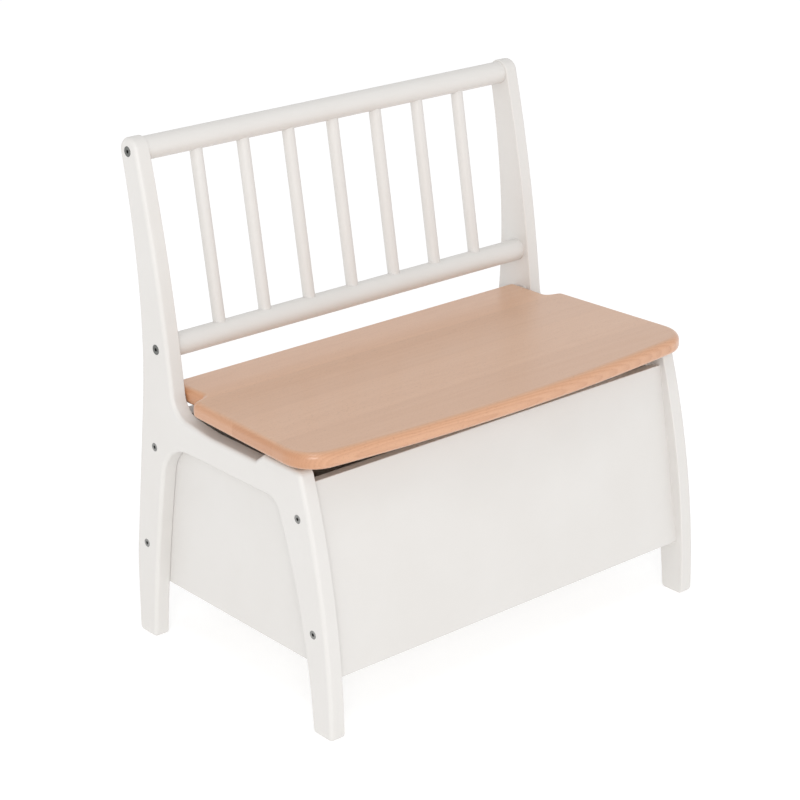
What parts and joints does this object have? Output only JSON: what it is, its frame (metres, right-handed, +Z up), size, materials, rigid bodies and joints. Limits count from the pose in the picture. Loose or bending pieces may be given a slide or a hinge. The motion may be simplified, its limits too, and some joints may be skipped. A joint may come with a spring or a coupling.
{
  "type": "children's storage bench",
  "caption": "Children's storage bench: curved side frames, chest with leaning panels, spindle backrest, hinged wooden seat lid with bowed front.",
  "frame": {"origin": "on the floor under the middle of the bench's bounding box", "axes": "+X to the right as seen from the front, +Z up, the front faces -Y"},
  "size_m": [0.616, 0.3763, 0.6338],
  "materials": {
    "white_paint": "satin white lacquer",
    "white_board": "satin white lacquer",
    "beech": "clear matt oil",
    "plain_wood": "raw",
    "dark_steel": "blackened",
    "steel": "zinc plated",
    "white_plastic": "matt",
    "rubber": "matt"
  },
  "bodies": {
    "bench": {"left_side_frame": "white_paint", "right_side_frame": "white_paint", "front_panel": "white_paint", "back_panel": "white_paint", "left_side_panel": "white_paint", "right_side_panel": "white_paint", "floor_panel": "white_board", "top_rail": "white_paint", "lower_rail": "white_paint", "spindle_1": "white_paint", "spindle_2": "white_paint", "spindle_3": "white_paint", "spindle_4": "white_paint", "spindle_5": "white_paint", "spindle_6": "white_paint", "spindle_7": "white_paint", "left_hinge_bush": "white_plastic", "right_hinge_bush": "white_plastic", "left_panel_bolts": "dark_steel", "right_panel_bolts": "dark_steel", "left_rail_bolts": "dark_steel", "right_rail_bolts": "dark_steel", "left_panel_screws": "steel", "right_panel_screws": "steel", "rail_inserts": "steel", "barrel_nuts": "steel", "panel_dowels": "plain_wood", "lid_buffers": "rubber"},
    "lid": {"seat_lid": "beech", "left_hinge_pin": "steel", "right_hinge_pin": "steel"}
  },
  "joints": [
    {"name": "lid_hinge", "type": "hinge", "parent": "bench", "child": "lid", "pos_m": [0, 0.115, 0.3314], "axis": [-1, 0, 0], "range_deg": [0, 69]}
  ]
}
